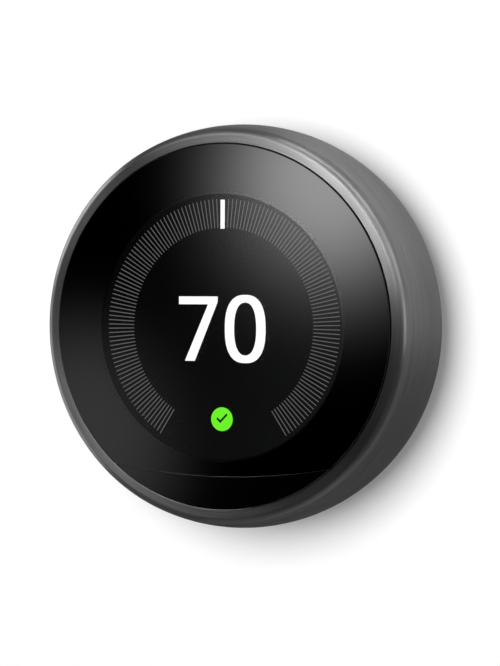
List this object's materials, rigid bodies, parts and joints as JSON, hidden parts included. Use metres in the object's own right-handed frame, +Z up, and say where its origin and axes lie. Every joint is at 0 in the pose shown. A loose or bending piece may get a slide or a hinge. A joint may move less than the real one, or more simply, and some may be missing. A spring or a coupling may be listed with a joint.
{
  "type": "wall thermostat",
  "caption": "Round wall thermostat with a turning steel ring, a domed press-in front with a lit display, and a head that pulls off a wall base with sprung wire terminals.",
  "frame": {"origin": "middle of the wall face, halfway between the two wall screw holes", "axes": "+Z up, +X to the right seen from the front, the front faces -Y and the wall is at y = 0"},
  "size_m": [0.084, 0.0307, 0.084],
  "materials": {
    "ring_steel": "circumferentially brushed dark steel",
    "clear_lens": "gloss",
    "window_black": "gloss",
    "mask_black": "printed",
    "display_glass": "display surface",
    "display_white": "matte",
    "black_plastic": "moulded",
    "housing_grey": "fine texture",
    "base_white": "fine texture",
    "tab_grey": "moulded",
    "glide_plastic": "slippery",
    "board_green": "solder mask",
    "battery_wrap": "film wrap",
    "contact_brass": "plated",
    "plain_steel": "plain",
    "vial_clear": "clear",
    "level_green": "tinted fluid",
    "encoder_print": "printed marks"
  },
  "bodies": {
    "wall_base": {"base_plate": "base_white", "base_housing": "base_white", "base_board": "board_green", "base_screws": "plain_steel", "terminal_clips": "contact_brass", "level_vial": "vial_clear", "level_fluid": "level_green", "level_caps": "glide_plastic", "base_socket": "black_plastic", "socket_pins": "contact_brass"},
    "head": {"rear_housing": "housing_grey", "main_board": "board_green", "board_screws": "plain_steel", "battery": "battery_wrap", "radio_shield": "plain_steel", "processor_shield": "plain_steel", "power_shield": "plain_steel", "buzzer": "black_plastic", "board_chips": "black_plastic", "ribbon_socket": "black_plastic", "head_plug": "black_plastic", "service_port": "plain_steel", "switch_body": "black_plastic", "return_springs": "plain_steel"},
    "plunger": {"switch_plunger": "glide_plastic"},
    "front": {"front_chassis": "black_plastic", "glide_rings": "glide_plastic", "retaining_ring": "plain_steel", "ring_sensor": "black_plastic", "guide_screws": "plain_steel", "display_bracket": "plain_steel", "bracket_screws": "plain_steel", "display_backlight": "display_white", "display_panel": "display_glass", "display_ribbon": "display_white", "sensor_board": "board_green", "motion_sensors": "black_plastic", "lens_mask": "mask_black", "front_lens": "clear_lens", "sensor_window": "window_black"},
    "ring": {"ring_shell": "ring_steel", "ring_carrier": "black_plastic", "encoder_band": "encoder_print"},
    "tab_1": {"release_tab_1": "tab_grey"},
    "tab_2": {"release_tab_2": "tab_grey"},
    "tab_3": {"release_tab_3": "tab_grey"},
    "tab_4": {"release_tab_4": "tab_grey"},
    "tab_5": {"release_tab_5": "tab_grey"},
    "tab_6": {"release_tab_6": "tab_grey"},
    "tab_7": {"release_tab_7": "tab_grey"},
    "tab_8": {"release_tab_8": "tab_grey"},
    "tab_9": {"release_tab_9": "tab_grey"},
    "tab_10": {"release_tab_10": "tab_grey"}
  },
  "joints": [
    {"name": "head_pull", "type": "slide", "parent": "wall_base", "child": "head", "axis": [0, -1, 0], "range_m": [0, 0.03]},
    {"name": "front_press", "type": "slide", "parent": "head", "child": "front", "axis": [0, 1, 0], "range_m": [0, 0.0006], "stiffness_N_per_m": 4000, "deforming": ["return_springs", "display_ribbon"]},
    {"name": "ring_turn", "type": "hinge", "parent": "front", "child": "ring", "pos_m": [0, -0.0196, 0], "axis": [0, -1, 0], "continuous": true},
    {"name": "switch_press", "type": "slide", "parent": "head", "child": "plunger", "axis": [0, 1, 0], "range_m": [0, 0.0006]},
    {"name": "tab_1_press", "type": "slide", "parent": "wall_base", "child": "tab_1", "axis": [0, 1, 0], "range_m": [0, 0.0009], "stiffness_N_per_m": 400},
    {"name": "tab_2_press", "type": "slide", "parent": "wall_base", "child": "tab_2", "axis": [0, 1, 0], "range_m": [0, 0.0009], "stiffness_N_per_m": 400},
    {"name": "tab_3_press", "type": "slide", "parent": "wall_base", "child": "tab_3", "axis": [0, 1, 0], "range_m": [0, 0.0009], "stiffness_N_per_m": 400},
    {"name": "tab_4_press", "type": "slide", "parent": "wall_base", "child": "tab_4", "axis": [0, 1, 0], "range_m": [0, 0.0009], "stiffness_N_per_m": 400},
    {"name": "tab_5_press", "type": "slide", "parent": "wall_base", "child": "tab_5", "axis": [0, 1, 0], "range_m": [0, 0.0009], "stiffness_N_per_m": 400},
    {"name": "tab_6_press", "type": "slide", "parent": "wall_base", "child": "tab_6", "axis": [0, 1, 0], "range_m": [0, 0.0009], "stiffness_N_per_m": 400},
    {"name": "tab_7_press", "type": "slide", "parent": "wall_base", "child": "tab_7", "axis": [0, 1, 0], "range_m": [0, 0.0009], "stiffness_N_per_m": 400},
    {"name": "tab_8_press", "type": "slide", "parent": "wall_base", "child": "tab_8", "axis": [0, 1, 0], "range_m": [0, 0.0009], "stiffness_N_per_m": 400},
    {"name": "tab_9_press", "type": "slide", "parent": "wall_base", "child": "tab_9", "axis": [0, 1, 0], "range_m": [0, 0.0009], "stiffness_N_per_m": 400},
    {"name": "tab_10_press", "type": "slide", "parent": "wall_base", "child": "tab_10", "axis": [0, 1, 0], "range_m": [0, 0.0009], "stiffness_N_per_m": 400}
  ],
  "couplings": [
    {"joint": "switch_press", "follows": "front_press", "ratio": 1}
  ]
}
